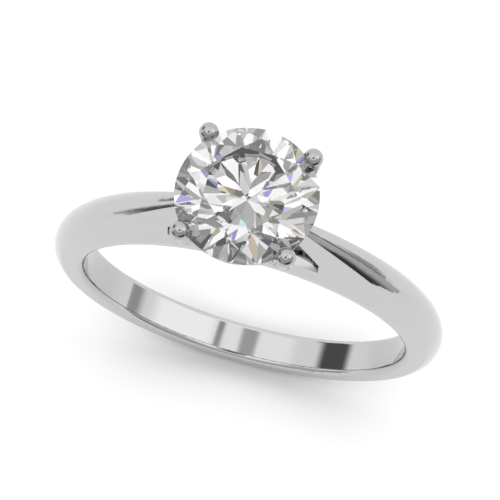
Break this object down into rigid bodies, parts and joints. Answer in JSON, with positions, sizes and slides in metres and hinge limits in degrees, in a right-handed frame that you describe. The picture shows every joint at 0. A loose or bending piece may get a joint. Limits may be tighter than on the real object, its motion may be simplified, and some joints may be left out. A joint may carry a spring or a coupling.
{
  "type": "engagement ring",
  "caption": "Solitaire engagement ring: slim D-section band, cathedral shoulders and a claw head holding a round brilliant.",
  "frame": {"origin": "centre of the finger bore, half way across the band", "axes": "+Y along the finger, +Z from the bore up to the stone, +X across the head"},
  "size_m": [0.0204, 0.0066, 0.0259],
  "materials": {
    "white_gold": "polished, rhodium plated",
    "diamond": "faceted and polished"
  },
  "bodies": {
    "root": {"shank": "white_gold", "left_shoulder": "white_gold", "right_shoulder": "white_gold", "head_base": "white_gold", "gallery_rail": "white_gold", "front_left_prong": "white_gold", "front_right_prong": "white_gold", "back_left_prong": "white_gold", "back_right_prong": "white_gold", "diamond": "diamond"}
  },
  "joints": []
}
